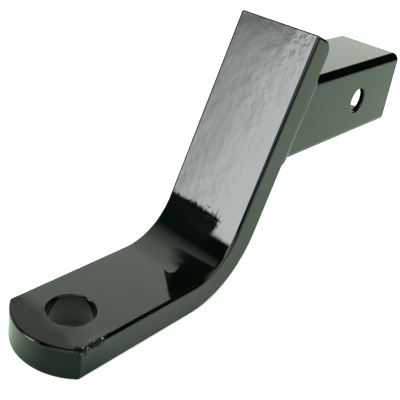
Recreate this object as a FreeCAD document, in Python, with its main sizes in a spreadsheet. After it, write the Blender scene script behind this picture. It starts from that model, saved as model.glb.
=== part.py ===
# Ball mount for a square receiver: a bent flat bar whose platform carries the towing ball, welded
# to a hollow square shank that slides into the receiver and is held there by one cross pin.
# X runs across the vehicle, Y to the rear end of the shank and Z up, all in millimetres.
# The origin is the centre of the pin hole, on the axis of the shank.

import FreeCAD, Part
import os
from math import asin, cos, radians, sin, tan

import Sketcher
from FreeCAD import Vector

# Driving dimensions: name, size (lengths in mm, angles in degrees), meaning
SIZES = (
    ("shank_side", 50.8, "outer side of the square shank"),
    ("shank_wall", 3.4, "wall of the shank"),
    ("shank_corner", 5.0, "outer corner radius of the shank"),
    ("shank_inner_corner", 1.6, "inner corner radius of the shank"),
    ("shank_tail", 47.6, "pin hole centre to the rear end of the shank"),
    ("pin_hole", 16.7, "diameter of the pin hole"),
    ("reach", 222.25, "pin hole centre to ball hole centre, along the shank"),
    ("drop", 110.0, "top of the shank down to the top of the platform"),
    ("bar_overhang", 3.2, "how far the bar stands out past each side of the shank"),
    ("bar_thickness", 19.05, "thickness of the flat bar"),
    ("ball_hole", 27.0, "diameter of the ball hole"),
    ("nose_to_ball", 31.0, "tip of the nose to the ball hole centre"),
    ("nose_bulge", 13.0, "how far the curved nose stands out past its corners"),
    ("platform_length", 98.5, "tip of the nose to the start of the bend"),
    ("bend_angle", 69.0, "angle that the bar is bent through"),
    ("bend_radius", 38.1, "radius on the inside of the bend"),
    ("riser_above", 29.5, "height of the riser above the top of the shank"),
    ("riser_round", 8.0, "radius on the upper rear corner of the riser"),
    ("edge_round", 2.0, "radius on the rolled long edges of the bar"),
    ("nose_round", 1.6, "radius on the edges of the sawn nose"),
    ("cut_round", 0.8, "radius on the edges of the sawn ends and the drilled holes"),
    ("weld_leg", 5.0, "leg of the weld bead along the shank, and up and down the riser"),
    ("weld_toe", 0.3, "thickness of the weld bead at its edge on the shank"),
    ("weld_set_in", 0.5, "distance from the side of the bar to the toe of the weld"),
)

doc = FreeCAD.newDocument("ball_mount")
sheet = doc.addObject("Spreadsheet::Sheet", "Sizes")
for row, (alias, value, meaning) in enumerate(SIZES, start=1):
    sheet.set(f"A{row}", alias)
    sheet.set(f"B{row}", str(value))
    sheet.set(f"C{row}", meaning)
    sheet.setAlias(f"B{row}", alias)
doc.recompute()


def size(alias):
    """The number in the sheet's cell of this name."""
    return float(sheet.get(alias))


# Places that several pieces share, as expressions on the sheet
BAR_WIDTH = "(Sizes.shank_side + 2 * Sizes.bar_overhang)"
PLATFORM_Z = "(Sizes.shank_side / 2 - Sizes.drop)"
NOSE_Y = "(-Sizes.reach - Sizes.nose_to_ball)"
BEND_Y = f"({NOSE_Y} + Sizes.platform_length)"
RISER_TOP_Z = "(Sizes.shank_side / 2 + Sizes.riser_above)"
BEND = "(Sizes.bend_angle * 1 deg)"
NOSE_RADIUS = f"(({BAR_WIDTH} / 2) ^ 2 / (2 * Sizes.nose_bulge) + Sizes.nose_bulge / 2)"
# Where the rear face of the riser crosses the axis of the shank
JOINT_Y = (f"({BEND_Y} + (Sizes.bend_radius + Sizes.bar_thickness) / sin({BEND})"
           f" - ({PLATFORM_Z} + Sizes.bend_radius) / tan({BEND}))")

# The same places as numbers, for where a sketch starts and for finding edges
half_shank = size("shank_side") / 2
half_bar = half_shank + size("bar_overhang")
platform_z = half_shank - size("drop")
nose_y = -size("reach") - size("nose_to_ball")
bend_y = nose_y + size("platform_length")
bend_z = platform_z + size("bend_radius")
riser_top_z = half_shank + size("riser_above")
bend = radians(size("bend_angle"))
right_angle = radians(90)
thickness = size("bar_thickness")
joint_y = bend_y + (size("bend_radius") + thickness) / sin(bend) - bend_z / tan(bend)


# Two coordinates closer than this are the same place
NEAR = 0.001

# How a sketch names the ends and the centre of its geometry, and its own axes
START, END, CENTRE = range(1, 4)
X_AXIS, Y_AXIS = range(-1, -3, -1)
ORIGIN = (X_AXIS, START)


def new_body(name):
    """An empty body whose label names its file."""
    body = doc.addObject("PartDesign::Body", name)
    body.Label = name
    body.Placement = FreeCAD.Placement()
    return body


def new_sketch(body, name, plane):
    """A sketch on one of the body's own origin planes."""
    sketch = body.newObject("Sketcher::SketchObject", name)
    support = next(face for face in body.Origin.OriginFeatures if face.Role == plane)
    sketch.AttachmentSupport = [(support, "")]
    sketch.MapMode = "FlatFace"
    return sketch


def add_line(sketch, start, end):
    """A line between two points of the sketch's plane."""
    return sketch.addGeometry(Part.LineSegment(Vector(*start, 0), Vector(*end, 0)))


def add_arc(sketch, centre, radius, first, last):
    """An arc that runs anticlockwise between two angles in radians."""
    circle = Part.Circle(Vector(*centre, 0), Vector(0, 0, 1), radius)
    return sketch.addGeometry(Part.ArcOfCircle(circle, first, last))


def add_circle(sketch, centre, radius):
    """A circle, its radius bound to an expression on the sheet."""
    start = float(sketch.evalExpression(radius))
    index = sketch.addGeometry(Part.Circle(Vector(*centre, 0), Vector(0, 0, 1), start))
    bound(sketch, "Radius", index, to=radius)
    return index


def bound(sketch, kind, *places, to):
    """A measured constraint, bound to an expression on the sheet."""
    value = sketch.evalExpression(to)
    start = radians(value.Value) if kind == "Angle" else float(value)
    index = sketch.addConstraint(Sketcher.Constraint(kind, *places, start))
    sketch.setExpression(f"Constraints[{index}]", to)


def round_edges(body, name, radius, wanted):
    """A fillet on those edges of the body's shape that pass the test."""
    doc.recompute()
    base = body.Tip
    chosen = [f"Edge{i}" for i, edge in enumerate(base.Shape.Edges, start=1) if wanted(edge)]
    fillet = body.newObject("PartDesign::Fillet", name)
    fillet.Base = (base, chosen)
    fillet.setExpression("Radius", radius)
    return fillet


def cut_through(body, name, sketch):
    """A pocket through all of the body, both ways from the sketch."""
    pocket = body.newObject("PartDesign::Pocket", name)
    pocket.Profile = sketch
    pocket.Type = "ThroughAll"
    pocket.SideType = "Symmetric"
    return pocket


def is_at(value, target):
    """Whether two coordinates are the same place."""
    return abs(value - target) < NEAR


# Bent bar: the side outline of the bar, drawn from the nose round the bend and up the riser
bar = new_body("bent_bar")
outline = new_sketch(bar, "bar_outline", "YZ_Plane")
along = (cos(bend), sin(bend))
inward = (sin(bend), -cos(bend))
inner = size("bend_radius")
outer = inner + thickness
corner = size("riser_round")


def from_bend(radius):
    """The end of an arc of this radius about the bend's centre."""
    return (bend_y + radius * inward[0], bend_z + radius * inward[1])


def up_riser(start, height):
    """The point at this height on a line that leaves start along the riser."""
    run = (height - start[1]) / along[1]
    return (start[0] + run * along[0], height)


front_foot = from_bend(inner)
rear_foot = from_bend(outer)
front_top = up_riser(front_foot, riser_top_z)
round_start = tuple(front_top[k] + (thickness - corner) * inward[k] for k in (0, 1))
round_centre = tuple(round_start[k] - corner * along[k] for k in (0, 1))
round_end = tuple(round_centre[k] + corner * inward[k] for k in (0, 1))

top_line = add_line(outline, (nose_y, platform_z), (bend_y, platform_z))
inner_arc = add_arc(outline, (bend_y, bend_z), inner, -right_angle, bend - right_angle)
front_line = add_line(outline, front_foot, front_top)
cut_line = add_line(outline, front_top, round_start)
corner_arc = add_arc(outline, round_centre, corner, bend - right_angle, bend)
rear_line = add_line(outline, round_end, rear_foot)
outer_arc = add_arc(outline, (bend_y, bend_z), outer, -right_angle, bend - right_angle)
under_line = add_line(outline, (bend_y, platform_z - thickness), (nose_y, platform_z - thickness))
nose_line = add_line(outline, (nose_y, platform_z - thickness), (nose_y, platform_z))

for rule in (
    ("Horizontal", top_line),
    ("Horizontal", under_line),
    ("Vertical", nose_line),
    ("Tangent", top_line, END, inner_arc, START),
    ("Tangent", inner_arc, END, front_line, START),
    ("Coincident", front_line, END, cut_line, START),
    ("Perpendicular", front_line, cut_line),
    ("Parallel", front_line, rear_line),
    ("Tangent", cut_line, END, corner_arc, END),
    ("Tangent", corner_arc, START, rear_line, START),
    ("Tangent", rear_line, END, outer_arc, END),
    ("Tangent", outer_arc, START, under_line, START),
    ("Coincident", under_line, END, nose_line, START),
    ("Coincident", nose_line, END, top_line, START),
    ("Coincident", inner_arc, CENTRE, outer_arc, CENTRE),
):
    outline.addConstraint(Sketcher.Constraint(*rule))
bound(outline, "DistanceX", *ORIGIN, top_line, START, to=NOSE_Y)
bound(outline, "DistanceY", *ORIGIN, top_line, START, to=PLATFORM_Z)
bound(outline, "DistanceX", top_line, START, top_line, END, to="Sizes.platform_length")
bound(outline, "Radius", inner_arc, to="Sizes.bend_radius")
bound(outline, "Radius", corner_arc, to="Sizes.riser_round")
bound(outline, "DistanceY", nose_line, START, nose_line, END, to="Sizes.bar_thickness")
bound(outline, "Angle", top_line, START, front_line, START, to=BEND)
bound(outline, "DistanceY", *ORIGIN, front_line, END, to=RISER_TOP_Z)

bar_pad = bar.newObject("PartDesign::Pad", "bar_pad")
bar_pad.Profile = outline
bar_pad.SideType = "Symmetric"
bar_pad.setExpression("Length", BAR_WIDTH)

# The nose is sawn to an arc whose ends are the corners of the bar
nose = new_sketch(bar, "nose_waste", "XY_Plane")
bulge = size("nose_bulge")
nose_radius = half_bar ** 2 / (2 * bulge) + bulge / 2
corner_y = nose_y + bulge
front_y = nose_y - bulge
nose_centre = (0, nose_y + nose_radius)
half_swing = asin(half_bar / nose_radius)
nose_arc = add_arc(nose, nose_centre, nose_radius, -right_angle - half_swing, -right_angle + half_swing)
right_line = add_line(nose, (half_bar, corner_y), (half_bar, front_y))
front_edge = add_line(nose, (half_bar, front_y), (-half_bar, front_y))
left_line = add_line(nose, (-half_bar, front_y), (-half_bar, corner_y))
for rule in (
    ("Coincident", nose_arc, END, right_line, START),
    ("Coincident", right_line, END, front_edge, START),
    ("Coincident", front_edge, END, left_line, START),
    ("Coincident", left_line, END, nose_arc, START),
    ("Vertical", right_line),
    ("Vertical", left_line),
    ("Horizontal", front_edge),
    ("PointOnObject", nose_arc, CENTRE, Y_AXIS),
):
    nose.addConstraint(Sketcher.Constraint(*rule))
bound(nose, "Radius", nose_arc, to=NOSE_RADIUS)
bound(nose, "DistanceY", *ORIGIN, nose_arc, CENTRE, to=f"{NOSE_Y} + {NOSE_RADIUS}")
bound(nose, "DistanceX", *ORIGIN, right_line, START, to=f"{BAR_WIDTH} / 2")
bound(nose, "DistanceX", left_line, START, *ORIGIN, to=f"{BAR_WIDTH} / 2")
bound(nose, "DistanceY", right_line, END, right_line, START, to="2 * Sizes.nose_bulge")
nose_cut = cut_through(bar, "nose_cut", nose)

# The ball's shank goes down through the platform
ball = new_sketch(bar, "ball_circle", "XY_Plane")
add_circle(ball, (0, -size("reach")), "Sizes.ball_hole / 2")
bound(ball, "DistanceY", 0, CENTRE, *ORIGIN, to="Sizes.reach")
ball.addConstraint(Sketcher.Constraint("PointOnObject", 0, CENTRE, Y_AXIS))
cut_through(bar, "ball_cut", ball)


def on_side(edge):
    """An edge in a side face of the bar, apart from the upright corners of the nose."""
    flat = is_at(edge.BoundBox.XMin, edge.BoundBox.XMax) and is_at(abs(edge.BoundBox.XMin), half_bar)
    return flat and not is_at(edge.BoundBox.YMax, corner_y)


def on_nose(edge):
    """An edge round the curved face of the nose."""
    return edge.BoundBox.YMax < corner_y + NEAR


def on_cut(edge):
    """An edge round the top of the riser or either mouth of the ball hole."""
    box = edge.BoundBox
    ball_rim = is_at(box.XMax, size("ball_hole") / 2) and is_at(box.XMin, -size("ball_hole") / 2)
    return is_at(box.ZMin, riser_top_z) or ball_rim


round_edges(bar, "long_edges", "Sizes.edge_round", on_side)
round_edges(bar, "nose_edges", "Sizes.nose_round", on_nose)
round_edges(bar, "cut_edges", "Sizes.cut_round", on_cut)

# Shank: a square tube, mitred to lie flat against the rear face of the riser
shank = new_body("shank_tube")
section = new_sketch(shank, "tube_section", "XZ_Plane")


def rounded_square(sketch, half_side, radius):
    """A square about the origin with rounded corners, sized by two expressions."""
    half = float(sketch.evalExpression(half_side))
    turn = float(sketch.evalExpression(radius))
    flat = half - turn
    arcs = []
    lines = []
    for quarter, (x, z) in enumerate(((1, 1), (-1, 1), (-1, -1), (1, -1))):
        first = quarter * right_angle
        arcs.append(add_arc(sketch, (x * flat, z * flat), turn, first, first + right_angle))
        corner_out = (x * flat, z * half) if quarter % 2 == 0 else (x * half, z * flat)
        corner_next = (-x * flat, z * half) if quarter % 2 == 0 else (x * half, -z * flat)
        lines.append(add_line(sketch, corner_out, corner_next))
    for k in range(4):
        sketch.addConstraint(Sketcher.Constraint("Tangent", arcs[k], END, lines[k], START))
        sketch.addConstraint(Sketcher.Constraint("Tangent", lines[k], END, arcs[(k + 1) % 4], START))
        sketch.addConstraint(Sketcher.Constraint("Horizontal" if k % 2 == 0 else "Vertical", lines[k]))
    for k in (1, 2, 3):
        sketch.addConstraint(Sketcher.Constraint("Equal", arcs[0], arcs[k]))
    bound(sketch, "Radius", arcs[0], to=radius)
    top, left, bottom, right = lines
    bound(sketch, "DistanceY", *ORIGIN, top, START, to=half_side)
    bound(sketch, "DistanceY", bottom, START, *ORIGIN, to=half_side)
    bound(sketch, "DistanceX", *ORIGIN, right, START, to=half_side)
    bound(sketch, "DistanceX", left, START, *ORIGIN, to=half_side)


rounded_square(section, "Sizes.shank_side / 2", "Sizes.shank_corner")
rounded_square(section, "Sizes.shank_side / 2 - Sizes.shank_wall", "Sizes.shank_inner_corner")
tube_pad = shank.newObject("PartDesign::Pad", "tube_pad")
tube_pad.Profile = section
tube_pad.SideType = "Two sides"
tube_pad.setExpression("Length", f"-{JOINT_Y} + Sizes.shank_side / 2 / tan({BEND}) + Sizes.shank_wall")
tube_pad.setExpression("Length2", "Sizes.shank_tail")

# The waste in front of the mitre is a block that reaches well past the tube
mitre = new_sketch(shank, "mitre_waste", "YZ_Plane")
side = size("shank_side")
lean = side / tan(bend)
low_foot = (joint_y - lean, -side)
high_head = (joint_y + lean, side)
waste_y = low_foot[0] - side
mitre_line = add_line(mitre, low_foot, high_head)
over_line = add_line(mitre, high_head, (waste_y, side))
fore_line = add_line(mitre, (waste_y, side), (waste_y, -side))
base_line = add_line(mitre, (waste_y, -side), low_foot)
for rule in (
    ("Coincident", mitre_line, END, over_line, START),
    ("Coincident", over_line, END, fore_line, START),
    ("Coincident", fore_line, END, base_line, START),
    ("Coincident", base_line, END, mitre_line, START),
    ("Horizontal", over_line),
    ("Vertical", fore_line),
    ("Horizontal", base_line),
):
    mitre.addConstraint(Sketcher.Constraint(*rule))
bound(mitre, "DistanceX", *ORIGIN, mitre_line, START, to=f"{JOINT_Y} - Sizes.shank_side / tan({BEND})")
bound(mitre, "DistanceY", mitre_line, START, *ORIGIN, to="Sizes.shank_side")
bound(mitre, "Angle", base_line, START, mitre_line, START, to=BEND)
bound(mitre, "DistanceY", mitre_line, START, mitre_line, END, to="2 * Sizes.shank_side")
bound(mitre, "DistanceX", base_line, START, base_line, END, to="Sizes.shank_side")
cut_through(shank, "mitre_cut", mitre)

# The cross pin goes through both side walls
pin = new_sketch(shank, "pin_circle", "YZ_Plane")
add_circle(pin, (0, 0), "Sizes.pin_hole / 2")
pin.addConstraint(Sketcher.Constraint("Coincident", 0, CENTRE, *ORIGIN))
cut_through(shank, "pin_cut", pin)


def on_rim(edge):
    """An edge round the outside of the rear end, or an outer mouth of the pin hole."""
    box = edge.BoundBox
    reach_out = max(box.XMax, -box.XMin, box.ZMax, -box.ZMin)
    rear = is_at(box.YMin, size("shank_tail")) and reach_out > half_shank - size("shank_wall") / 2
    mouth = is_at(abs(box.Center.x), half_shank) and is_at(box.YMax, size("pin_hole") / 2)
    return rear or mouth


round_edges(shank, "rim_edges", "Sizes.cut_round", on_rim)
doc.recompute()

# Weld: one bead all round the mitred end of the shank, in the corner that it makes with the riser
LAYERS = 6


def joint_outline(side_growth, tall_growth, stand_off):
    """The outside of the shank, grown, where it meets a plane behind the riser's rear face."""
    turn = size("shank_corner") + min(side_growth, tall_growth)
    across = half_shank + side_growth - turn
    tall = half_shank + tall_growth - turn
    spots = [Vector(x * across, 0, z * tall) for x, z in ((1, 1), (-1, 1), (-1, -1), (1, -1), (1, 1))]
    square = Part.makePolygon(spots).makeOffset2D(turn)
    slant = FreeCAD.Matrix()
    slant.A23 = 1 / tan(bend)
    slant.A24 = joint_y + stand_off / sin(bend)
    return square.transformGeometry(slant)


def weld_shape():
    """A convex bead between the shank and the riser, as deep as the bar's rounded edge."""
    leg = size("weld_leg")
    toe = size("weld_toe")
    side_leg = size("bar_overhang") - size("weld_set_in")
    wires = [joint_outline(side_leg, leg, -size("edge_round"))]
    for layer in range(LAYERS + 1):
        rise = right_angle * layer / LAYERS
        side_growth = toe + (side_leg - toe) * cos(rise)
        tall_growth = toe + (leg - toe) * cos(rise)
        wires.append(joint_outline(side_growth, tall_growth, leg * sin(rise)))
    block = Part.makeLoft(wires, True, True)
    run = 2 * size("shank_side")
    tube = Part.Face(joint_outline(0, 0, -thickness)).extrude(Vector(0, run, 0))
    return block.cut(tube).cut(bar.Shape)


weld = doc.addObject("Part::Feature", "weld_bead")
weld.Label = "weld_bead"
weld.Shape = weld_shape()
weld.Placement = FreeCAD.Placement()
doc.recompute()

# Every object has to be sound before anything is written
for item in doc.Objects:
    if "Invalid" in item.State or "Error" in item.State:
        raise RuntimeError(f"{item.Name} is {item.State}")
PIECES = (bar, shank, weld)
for piece in PIECES:
    if piece.Shape.isNull() or not piece.Shape.isValid() or len(piece.Shape.Solids) != 1:
        raise RuntimeError(f"{piece.Label} isn't one sound solid")

os.makedirs("parts", exist_ok=True)
for piece in PIECES:
    piece.Shape.exportStep(f"parts/{piece.Label}.step")
    print(piece.Label, round(piece.Shape.Volume), "cubic mm")
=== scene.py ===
from math import cos, pi, radians, sin, tan

import bmesh
import bpy
from mathutils import Matrix, Vector


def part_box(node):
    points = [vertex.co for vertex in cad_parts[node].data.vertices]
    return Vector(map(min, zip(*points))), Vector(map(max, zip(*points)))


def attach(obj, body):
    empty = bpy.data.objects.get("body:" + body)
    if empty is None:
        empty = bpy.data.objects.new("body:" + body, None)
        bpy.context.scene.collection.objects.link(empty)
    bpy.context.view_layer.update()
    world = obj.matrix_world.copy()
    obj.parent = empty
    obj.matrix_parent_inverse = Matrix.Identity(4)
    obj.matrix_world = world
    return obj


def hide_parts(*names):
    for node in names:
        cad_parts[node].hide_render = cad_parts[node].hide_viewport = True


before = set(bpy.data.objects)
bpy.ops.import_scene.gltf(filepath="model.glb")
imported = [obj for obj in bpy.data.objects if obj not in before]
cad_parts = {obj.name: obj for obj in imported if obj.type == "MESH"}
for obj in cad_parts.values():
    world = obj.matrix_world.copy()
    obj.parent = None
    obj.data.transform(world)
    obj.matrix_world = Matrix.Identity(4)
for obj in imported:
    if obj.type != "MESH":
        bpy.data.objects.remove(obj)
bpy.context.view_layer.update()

scene = bpy.context.scene

# The bar: its lowest face, its thickness, half its width, and the top of its ball platform
BAR_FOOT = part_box("bent_bar")[0].z
BAR_THICKNESS = 0.01905
HALF_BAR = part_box("bent_bar")[1].x
PLATFORM_TOP = BAR_FOOT + BAR_THICKNESS

# Along the bar: the middle of its ball hole, and the corners between its sides and the nose
HOLE_Y = -0.22225
NOSE_CORNER_Y = -0.24025

# The shop floor: just under the bar, and wide enough to show no rim
FLOOR_Z = BAR_FOOT - 0.0002
FLOOR_RADIUS = 12.0

# The soft boxes are turned to this spot on the bar, from this far away
AIM = Vector((0, -0.12, -0.03))
BOX_DISTANCE = 2.4


# Making objects

def link(thing):
    """Puts an object in the scene and hands it back."""
    scene.collection.objects.link(thing)
    return thing


def new_object(name, bm):
    """An object with this bmesh as its mesh."""
    mesh = bpy.data.meshes.new(name)
    bm.to_mesh(mesh)
    bm.free()
    return link(bpy.data.objects.new(name, mesh))


def flat_sheet(name, corners):
    """A single face through these corners."""
    bm = bmesh.new()
    bm.faces.new([bm.verts.new(corner) for corner in corners])
    return new_object(name, bm)


def rectangle(left, right, bottom, top):
    """A rectangle's corners, from its lower left one round."""
    return (left, bottom), (right, bottom), (right, top), (left, top)


def dress(piece, material):
    """Gives a piece this material and no other."""
    piece.data.materials.clear()
    piece.data.materials.append(material)


# Shader nodes

def new_material(name):
    """A material made of nodes, with its tree."""
    material = bpy.data.materials.new(name)
    material.use_nodes = True
    return material, material.node_tree


def add_node(tree, kind, sockets=(), **settings):
    """A shader node, with its settings and with its sockets given as numbers or as other nodes' outputs."""
    made = tree.nodes.new(kind)
    for name, value in settings.items():
        setattr(made, name, value)
    for name, value in dict(sockets).items():
        if isinstance(value, bpy.types.NodeSocket):
            tree.links.new(value, made.inputs[name])
        else:
            made.inputs[name].default_value = value
    return made


def set_surface(tree, shader):
    """Makes this shader the surface, in place of the one that a material starts with."""
    tree.nodes.remove(tree.nodes["Principled BSDF"])
    tree.links.new(shader, tree.nodes["Material Output"].inputs["Surface"])


def object_place(tree):
    """The place on the object."""
    return add_node(tree, "ShaderNodeTexCoord").outputs["Object"]


def split(tree, place):
    """A place's X, Y and Z."""
    return add_node(tree, "ShaderNodeSeparateXYZ", {"Vector": place}).outputs


def work_out(tree, operation, *terms):
    """A maths node on numbers or other nodes' outputs, as its output."""
    return add_node(tree, "ShaderNodeMath", enumerate(terms), operation=operation).outputs["Value"]


def plus(tree, first, second):
    """The sum of two values."""
    return work_out(tree, "ADD", first, second)


def minus(tree, first, second):
    """The first value less the second."""
    return work_out(tree, "SUBTRACT", first, second)


def times(tree, first, second):
    """Two values multiplied."""
    return work_out(tree, "MULTIPLY", first, second)


def larger(tree, first, second):
    """The larger of two values."""
    return work_out(tree, "MAXIMUM", first, second)


def fade(tree, value, start, end, low=0.0, high=1.0):
    """A value carried from low at start to high at end, and held beyond them."""
    sockets = {"Value": value, "From Min": start, "From Max": end, "To Min": low, "To Max": high}
    return add_node(tree, "ShaderNodeMapRange", sockets).outputs["Result"]


def noise(tree, place, scale, detail, stretch=(1, 1, 1)):
    """A noise of so many spots to the metre, drawn out along the axes that stretch makes small."""
    drawn = add_node(tree, "ShaderNodeMapping", {"Vector": place, "Scale": stretch})
    sockets = {"Vector": drawn.outputs["Vector"], "Scale": scale, "Detail": detail}
    return add_node(tree, "ShaderNodeTexNoise", sockets).outputs["Fac"]


def blend(tree, share, first, second):
    """One colour turning into another as share goes from 0 to 1; each is given as numbers or as an output."""
    mix = add_node(tree, "ShaderNodeMix", {"Factor": share}, data_type="RGBA")
    for socket, colour in (("A", first), ("B", second)):
        if isinstance(colour, bpy.types.NodeSocket):
            tree.links.new(colour, mix.inputs[socket])
        else:
            mix.inputs[socket].default_value = (*colour, 1)
    return mix.outputs["Result"]


def away_from(tree, place, spot):
    """How far a place is from a spot."""
    gap = add_node(tree, "ShaderNodeVectorMath", {0: place, 1: spot}, operation="DISTANCE")
    return gap.outputs["Value"]


def camera_looks(tree):
    """1 where the camera looks straight at the surface, 0 where a light or a reflection meets it."""
    return add_node(tree, "ShaderNodeLightPath").outputs["Is Camera Ray"]


# Camera and floor

def set_camera():
    """The photograph's camera: above and to the right of the nose, tipped a little."""
    data = bpy.data.cameras.new("camera")
    data.sensor_width = 36
    data.lens = 66.3
    data.clip_start = 0.01
    yaw = Matrix.Rotation(radians(36.36), 4, "Z")
    pitch = Matrix.Rotation(radians(90 - 28.10), 4, "X")
    roll = Matrix.Rotation(radians(9.22), 4, "Z")
    camera = link(bpy.data.objects.new("camera", data))
    camera.matrix_world = Matrix.Translation((0.2325, -0.4401, 0.1605)) @ yaw @ pitch @ roll
    scene.camera = camera


def floor_tone(tree, place, clear_of_painted_shadow):
    """The floor's colour: pale, with a painted shadow under the ball hole; in the gloss a painted shadow by
    the nose and painted light at the left.
    """
    pale = (0.66, 0.80, 0.65)
    # Painted light and shade that only reflections and bounced light get: darker by the nose, a painted
    # shadow, and paler to the left, painted light.
    beside_nose = away_from(tree, place, (0.03, -0.262, FLOOR_Z))
    out_left = fade(tree, split(tree, place)["X"], -0.05, -0.20)
    brighter = blend(tree, out_left, pale, (1.0, 1.0, 0.98))
    mirrored_painted_light_and_shade = blend(tree, fade(tree, beside_nose, 0.020, 0.055), (0.22, 0.34, 0.24), brighter)
    # Painted shadow: to the camera the floor under the ball hole is near black.
    seen_with_painted_hole_shadow = blend(tree, clear_of_painted_shadow, (0.03, 0.05, 0.035), pale)
    return blend(tree, camera_looks(tree), mirrored_painted_light_and_shade, seen_with_painted_hole_shadow)


def lay_floor():
    """A plain pale floor that carries on past what any view takes in, with painted shadow and painted light
    in its colour.
    """
    bm = bmesh.new()
    bmesh.ops.create_circle(bm, cap_ends=True, radius=FLOOR_RADIUS, segments=64)
    bmesh.ops.translate(bm, verts=bm.verts, vec=(0, 0, FLOOR_Z))
    floor = new_object("floor", bm)
    material, tree = new_material("pale_floor")
    shader = tree.nodes["Principled BSDF"]
    shader.inputs["Roughness"].default_value = 0.9
    shader.inputs["Specular IOR Level"].default_value = 0.0
    shader.inputs["Emission Color"].default_value = (1.0, 0.98, 1.0, 1)
    place = object_place(tree)
    from_hole = away_from(tree, place, (0, HOLE_Y, FLOOR_Z))
    # Painted shadow: this mask takes away the pale colour and the camera's glow under the ball hole.
    clear_of_painted_shadow = fade(tree, from_hole, 0.017, 0.024)
    tree.links.new(floor_tone(tree, place, clear_of_painted_shadow), shader.inputs["Base Color"])
    # A glow only the camera gets, 0.6 near the bar to 1.1 far out, so the floor reads evenly white.
    lift = times(tree, fade(tree, from_hole, 0.8, 2.5, 0.6, 1.1), clear_of_painted_shadow)
    tree.links.new(times(tree, camera_looks(tree), lift), shader.inputs["Emission Strength"])
    dress(floor, material)


# Soft boxes

def towards(azimuth, elevation, distance):
    """A place at this compass direction from the riser: 0 is ahead along Y and 90 along -X."""
    level = distance * cos(radians(elevation))
    height = distance * sin(radians(elevation))
    return Vector((-level * sin(radians(azimuth)), level * cos(radians(azimuth)), height))


def hang_soft_box(name, azimuth, elevation, outline, tint, glow):
    """A lit cloth panel square to its direction: glow gives its brightness, by how far right and up it is."""
    panel = flat_sheet(name, [(across, up, 0) for across, up in outline])
    place = towards(azimuth, elevation, BOX_DISTANCE)
    panel.location = place + AIM
    panel.rotation_euler = place.to_track_quat("Z", "Y").to_euler()
    panel.visible_camera = False
    cloth, tree = new_material(name + "_cloth")
    spot = split(tree, object_place(tree))
    sockets = {"Color": (*tint, 1), "Strength": glow(tree, spot["X"], spot["Y"])}
    set_surface(tree, add_node(tree, "ShaderNodeEmission", sockets).outputs["Emission"])
    dress(panel, cloth)


def front_glow(tree, across, up):
    """Brightest at its right, fading out to the left, with a soft top edge that climbs to the right."""
    side = fade(tree, across, -0.56, 0.0, 0.0, 11.4)
    climb = times(tree, larger(tree, plus(tree, across, 0.12), 0.0), 3.0)
    return times(tree, side, fade(tree, minus(tree, up, climb), 0.95, 0.50))


def left_glow(tree, across, up):
    """Fades out towards the nose end, under a soft top edge that is high there and drops to the back."""
    side = fade(tree, across, 2.0, -0.5, 0.0, 1.6)
    back_edge = fade(tree, across, -7.5, -0.8, 1.76, 3.9)
    edge = plus(tree, back_edge, fade(tree, across, 0.5, 1.0, 0.0, 0.7))
    return times(tree, side, fade(tree, minus(tree, up, edge), 0.10, -0.10))


def right_glow(tree, across, up):
    """Dim, for views of the far side, with soft ends."""
    return times(tree, fade(tree, across, -1.9, -1.2, 0.0, 2.0), fade(tree, across, 1.4, 0.9))


def nose_glow(tree, across, up):
    """For views from the nose end, brighter to the top."""
    return times(tree, fade(tree, across, -0.9, -0.3), fade(tree, up, -0.9, 0.9, 0.8, 3.6))


def top_glow(tree, across, up):
    """For views from high up, fading to its rim."""
    rim = larger(tree, work_out(tree, "ABSOLUTE", across), work_out(tree, "ABSOLUTE", up))
    return fade(tree, rim, 0.6, 0.3, 0.0, 1.2)


def hang_soft_boxes():
    """All the soft boxes: the riser mirrors the front one, and the platform the left one."""
    left_outline = ((2.4, 0), (2.4, 5.6), (0.2, 5.6), (-9.6, 4.1), (-9.6, 0))
    hang_soft_box("front_box", 150, 8, rectangle(-0.6, 0.4, -0.6, 1.8), (0.94, 0.985, 1.0), front_glow)
    hang_soft_box("left_box", 90, 0, left_outline, (0.91, 1.0, 0.88), left_glow)
    hang_soft_box("right_box", -97, 32, rectangle(-1.9, 1.4, -0.8, 0.7), (0.95, 1.0, 0.97), right_glow)
    hang_soft_box("nose_box", 200, 30, rectangle(-0.9, 0.9, -0.9, 0.9), (0.96, 1.0, 0.97), nose_glow)
    hang_soft_box("top_box", 90, 87, rectangle(-0.6, 0.6, -0.6, 0.6), (0.95, 1.0, 0.96), top_glow)


# Lamp and room

def hang_overhead():
    """A wide lamp above, which lights the floor and which the gloss doesn't show."""
    data = bpy.data.lights.new("overhead", "AREA")
    data.size = 2.4
    data.energy = 8.8 * data.size ** 2
    data.color = (0.96, 1.0, 0.96)
    lamp = link(bpy.data.objects.new("overhead", data))
    lamp.location = (0, -0.1, 1.8)
    lamp.visible_camera = False
    lamp.visible_glossy = False


def set_room():
    """A room that is white to the camera and almost dark to everything else."""
    world = bpy.data.worlds.new("room")
    scene.world = world
    world.use_nodes = True
    tree = world.node_tree
    colour = blend(tree, camera_looks(tree), (0.004, 0.004, 0.004), (1.0, 1.0, 1.0))
    tree.links.new(colour, tree.nodes["Background"].inputs["Color"])


# Black cards

def hang_black_card(name, depth, outline, cover):
    """A black card across the bar, at this depth along it, that only the gloss shows, where cover says so: it
    puts painted shade into the bar's reflections and casts no shadow.
    """
    card = flat_sheet(name, [(x, depth, z) for x, z in outline])
    card.visible_camera = False
    card.visible_diffuse = False
    card.visible_shadow = False
    paper, tree = new_material(name + "_paper")
    from_behind = add_node(tree, "ShaderNodeNewGeometry").outputs["Backfacing"]
    share, glow = cover(tree, object_place(tree), from_behind)
    clear = add_node(tree, "ShaderNodeBsdfTransparent").outputs["BSDF"]
    # Painted reflection: the card is black but for a glowing teal fringe along its frayed edge.
    teal = {"Color": (0.15, 0.8, 1.0, 1), "Strength": glow}
    black = add_node(tree, "ShaderNodeEmission", teal).outputs["Emission"]
    both = add_node(tree, "ShaderNodeMixShader", {0: share, 1: clear, 2: black})
    set_surface(tree, both.outputs["Shader"])
    dress(card, paper)


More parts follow.
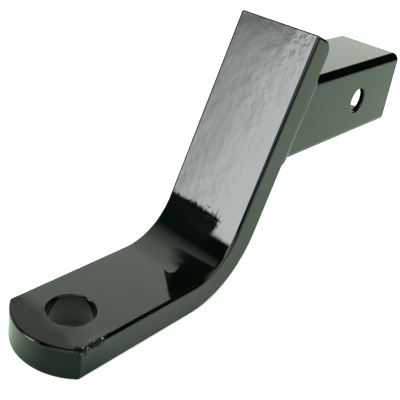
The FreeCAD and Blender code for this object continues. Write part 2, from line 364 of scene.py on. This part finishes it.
def frayed_cover(tree, spot, from_behind):
    """Hides what the riser's foot would mirror with painted shade, up to a frayed teal edge that glows, a
    painted reflection, and droops at the right.
    """
    axes = split(tree, spot)
    droop = plus(tree, fade(tree, axes["X"], -0.022, -0.013, 0.0, 0.001),
                 fade(tree, axes["X"], -0.004, 0.004, 0.0, 0.006))
    fray = fade(tree, noise(tree, spot, 620.0, 3.0, (1, 1, 0.3)), 0.3, 0.7, 0.0, 0.0012)
    hairs = fade(tree, noise(tree, spot, 1100.0, 1.0, (1, 1, 0.15)), 0.52, 0.75, 0.0, 0.005)
    height = plus(tree, minus(tree, plus(tree, axes["Z"], fray), hairs), droop)
    share = times(tree, fade(tree, height, -0.0518, -0.0536), from_behind)
    return share, fade(tree, height, -0.0555, -0.0530, 0.0, 0.12)


def side_cover(tree, spot, from_behind):
    """Hides what the bend would mirror to the left of the riser, with painted shade."""
    return minus(tree, 1.0, from_behind), 0.0


def hang_black_cards():
    """The two cards in front of the bend, which put painted shade into its reflections."""
    hang_black_card("foot_card", -0.143, rectangle(-0.075, 0.02, -0.070, -0.045), frayed_cover)
    hang_black_card("side_card", -0.138, rectangle(-0.0025, 0.014, -0.073, -0.057), side_cover)


# Paint

def gloss_paint(name):
    """A gloss paint's material with its shader, the place on the piece, and a tone and a gloss that drift."""
    material, tree = new_material(name)
    shader = tree.nodes["Principled BSDF"]
    shader.inputs["IOR"].default_value = 1.5
    place = object_place(tree)
    patch = noise(tree, place, 45.0, 4.0)
    tone = blend(tree, patch, (0.0008, 0.0012, 0.0008), (0.0016, 0.0024, 0.0016))
    return material, tree, shader, place, tone, fade(tree, patch, 0.3, 0.7, 0.02, 0.07)


def lay_on(tree, shader, tone, gloss, normal):
    """Puts the paint's tone, gloss and relief on its shader."""
    tree.links.new(tone, shader.inputs["Base Color"])
    tree.links.new(gloss, shader.inputs["Roughness"])
    tree.links.new(normal, shader.inputs["Normal"])


def relief(tree, height, depth, under=None):
    """Bump of a real depth, on top of the bump under it."""
    sockets = {"Height": height, "Strength": 1.0, "Distance": depth}
    if under:
        sockets["Normal"] = under
    return add_node(tree, "ShaderNodeBump", sockets).outputs["Normal"]


def orange_peel(tree, place, level, peel, streaks, grain):
    """The paint's relief: broad waves, orange peel that comes and goes, rolling streaks and fine grain."""
    strong = fade(tree, noise(tree, place, 22.0, 1.0), 0.35, 0.65, 0.4, 1.0)
    waves = times(tree, noise(tree, place, 75.0, 1.0), level)
    swell = times(tree, times(tree, noise(tree, place, 230.0, 1.5), strong), level)
    lines = times(tree, noise(tree, place, 260.0, 2.0, (1, 0.14, 0.14)), level)
    normal = relief(tree, waves, 1.2 * peel)
    normal = relief(tree, swell, peel, normal)
    normal = relief(tree, lines, streaks, normal)
    return relief(tree, noise(tree, place, 900.0, 2.0), grain, normal)


def nose_damage_and_glints(tree, place, axes):
    """Where the nose's top corners are knocked about, and where painted highlight specks go: 1 at the worst,
    0 elsewhere.
    """
    over = minus(tree, axes["Z"], PLATFORM_TOP)
    side = minus(tree, axes["X"], HALF_BAR)
    off_edge = work_out(tree, "SQRT", plus(tree, times(tree, side, side), times(tree, over, over)))
    along = fade(tree, axes["Y"], NOSE_CORNER_Y + 0.028, NOSE_CORNER_Y + 0.014)
    edge = times(tree, fade(tree, off_edge, 0.0052, 0.0024), along)
    right = fade(tree, away_from(tree, place, (HALF_BAR, NOSE_CORNER_Y, PLATFORM_TOP)), 0.010, 0.003)
    left = fade(tree, away_from(tree, place, (-HALF_BAR, NOSE_CORNER_Y, PLATFORM_TOP)), 0.006, 0.002)
    return larger(tree, edge, larger(tree, right, left))


def nose_reflection_shade(tree, place, axes):
    """How much the nose top's reflection is darkened, painted shade, with an uneven edge to it: 1 at the tip,
    0 from the ball hole back.
    """
    uneven = fade(tree, noise(tree, place, 60.0, 3.0), 0.3, 0.7, -0.004, 0.004)
    front = fade(tree, plus(tree, axes["Y"], uneven), -0.229, -0.240)
    top = fade(tree, axes["Z"], PLATFORM_TOP - 0.0010, PLATFORM_TOP - 0.0004)
    return times(tree, front, top)


def bar_paint():
    """The bar's paint: smooth in the bend, chipped at its corners with painted highlight specks there, and
    with painted shade on the nose top's reflection.
    """
    material, tree, shader, place, tone, gloss = gloss_paint("bar_paint")
    axes = split(tree, place)
    level = larger(tree, fade(tree, axes["Z"], -0.075, -0.045, 0.12, 1.0),
                   fade(tree, axes["Y"], -0.160, -0.185, 0.0, 0.5))
    damage_and_glint_area = nose_damage_and_glints(tree, place, axes)
    dents = times(tree, noise(tree, place, 420.0, 3.0), damage_and_glint_area)
    chips = fade(tree, dents, 0.42, 0.46)
    # Painted highlight: pale specks in the base colour at the knocked corners stand in for small highlights.
    painted_glints = fade(tree, times(tree, noise(tree, place, 700.0, 1.0), damage_and_glint_area), 0.67, 0.70)
    tone = blend(tree, chips, tone, (0.003, 0.004, 0.003))
    tone = blend(tree, painted_glints, tone, (0.45, 0.48, 0.44))
    normal = relief(tree, dents, 0.0006, orange_peel(tree, place, level, 0.0001, 0.00003, 0.000003))
    lay_on(tree, shader, tone, plus(tree, gloss, times(tree, chips, 0.5)), normal)
    # Painted shade: the specular level drops over the nose top, darkening its reflection there.
    sheen_with_painted_shade = fade(tree, nose_reflection_shade(tree, place, axes), 0.0, 1.0, 0.5, 0.20)
    tree.links.new(minus(tree, sheen_with_painted_shade, times(tree, chips, 0.22)), shader.inputs["Specular IOR Level"])
    return material


def shank_paint():
    """The shank's paint: smoother outside, thin and dull in the bore."""
    material, tree, shader, place, tone, gloss = gloss_paint("shank_paint")
    normal = orange_peel(tree, place, 1.0, 0.00003, 0.00001, 0.000002)
    axes = split(tree, place)
    off_axis = larger(tree, work_out(tree, "ABSOLUTE", axes["X"]), work_out(tree, "ABSOLUTE", axes["Z"]))
    bore = fade(tree, off_axis, 0.0226, 0.0218)
    tone = blend(tree, bore, tone, (0.012, 0.013, 0.011))
    lay_on(tree, shader, tone, plus(tree, gloss, times(tree, bore, 0.35)), normal)
    return material


def weld_paint():
    """The weld's paint, the same gloss over the ripples."""
    material, tree, shader, place, tone, gloss = gloss_paint("weld_paint")
    lay_on(tree, shader, tone, gloss, orange_peel(tree, place, 1.0, 0.00006, 0.00001, 0.000004))
    return material


# Weld bead

# The shank's half width and corner, the joint's place on Y where the shank's axis meets it, and its slope
HALF_SHANK = 0.0254
SHANK_CORNER = 0.005
JOINT_Y = -0.0757
SLOPE = radians(69)

# The shank's outline: each flat, the arc after it, and once round
FLAT = 2 * (HALF_SHANK - SHANK_CORNER)
CORNER_ARC = SHANK_CORNER * pi / 2
ROUND_JOINT = 4 * (FLAT + CORNER_ARC)

# The bead's legs, its thickness at the toe on the shank, and how far it sinks into the two pieces
SIDE_LEG = 0.0027
LEG = 0.005
TOE = 0.0003
SINK = 0.0006

# Ripples: how far apart, how deep, how sharp, and how far their middle lags
PITCH = 0.0021
RIPPLE = 0.00035
SHARPNESS = 1.6
LAG = 0.0016

# How much the bead's size wanders, as a share, and in what waves along the joint, in radians to the metre
WANDER = 0.05
WANDER_WAVES = (130, 47)

# Stations to a ripple, and steps across the bead
STATIONS = 8
LAYERS = 12


def joint_spot(along, side, tall, stand_off):
    """A spot on the shank's outline at the joint, grown sideways and upwards, stood off from the riser."""
    turn = SHANK_CORNER + min(side, tall)
    quarter, rest = divmod(along, FLAT + CORNER_ARC)
    outwards = Vector((round(cos(quarter * pi / 2)), round(sin(quarter * pi / 2))))
    onwards = Vector((-outwards.y, outwards.x))
    grown = Vector((HALF_SHANK + side - turn, HALF_SHANK + tall - turn))
    out_by, on_by = (grown.x, grown.y) if quarter % 2 == 0 else (grown.y, grown.x)
    if rest < FLAT:
        spot = outwards * (out_by + turn) + onwards * on_by * (2 * rest / FLAT - 1)
    else:
        angle = (rest - FLAT) / SHANK_CORNER
        spot = outwards * out_by + onwards * on_by + turn * (cos(angle) * outwards + sin(angle) * onwards)
    return Vector((spot.x, spot.y / tan(SLOPE) + JOINT_Y + stand_off / sin(SLOPE), spot.y))


def bead_section(along):
    """The bead's section at one station: its root inside the joint, then the rippled arc over it."""
    spots = [joint_spot(along, -SINK, -SINK, -SINK)]
    first_wave, second_wave = WANDER_WAVES
    size = 1 - WANDER * (1 + sin(along * first_wave) * sin(along * second_wave + 1))
    for layer in range(LAYERS + 1):
        share = layer / LAYERS
        rise = share * pi / 2
        wave = 0.5 - 0.5 * cos(2 * pi * (along + LAG * 4 * share * (1 - share)) / PITCH)
        full = size - RIPPLE / LEG * wave ** SHARPNESS * sin(pi * share)
        side = TOE + (SIDE_LEG - TOE) * cos(rise) * full
        tall = TOE + (LEG - TOE) * cos(rise) * full
        into_riser = 1.5 * SINK if layer == 0 else 0
        spots.append(joint_spot(along, side, tall, LEG * sin(rise) * full - into_riser))
    spots.append(joint_spot(along, -SINK, -SINK, LEG * 0.9))
    return spots


def weld_bead():
    """The welder's bead, laid round the joint in overlapping ripples."""
    steps = round(ROUND_JOINT / PITCH) * STATIONS
    bm = bmesh.new()
    first = [bm.verts.new(spot) for spot in bead_section(0)]
    edges = [bm.edges.new((first[k - 1], first[k])) for k in range(len(first))]
    for step in range(1, steps + 1):
        along = ROUND_JOINT * (step % steps) / steps
        grown = bmesh.ops.extrude_edge_only(bm, edges=edges)["geom"]
        verts = [item for item in grown if isinstance(item, bmesh.types.BMVert)]
        edges = [item for item in grown if isinstance(item, bmesh.types.BMEdge) and item.is_boundary]
        for vert, spot in zip(verts, bead_section(along)):
            vert.co = spot
    bmesh.ops.remove_doubles(bm, verts=bm.verts, dist=0.00001)
    bmesh.ops.recalc_face_normals(bm, faces=bm.faces)
    for face in bm.faces:
        face.smooth = True
    piece = new_object("rippled_weld", bm)
    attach(piece, "root")
    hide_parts("weld_bead")
    return piece


set_camera()
lay_floor()
set_room()
hang_soft_boxes()
hang_overhead()
hang_black_cards()
dress(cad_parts["bent_bar"], bar_paint())
dress(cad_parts["shank_tube"], shank_paint())
dress(weld_bead(), weld_paint())
scene.view_settings.view_transform = "Standard"
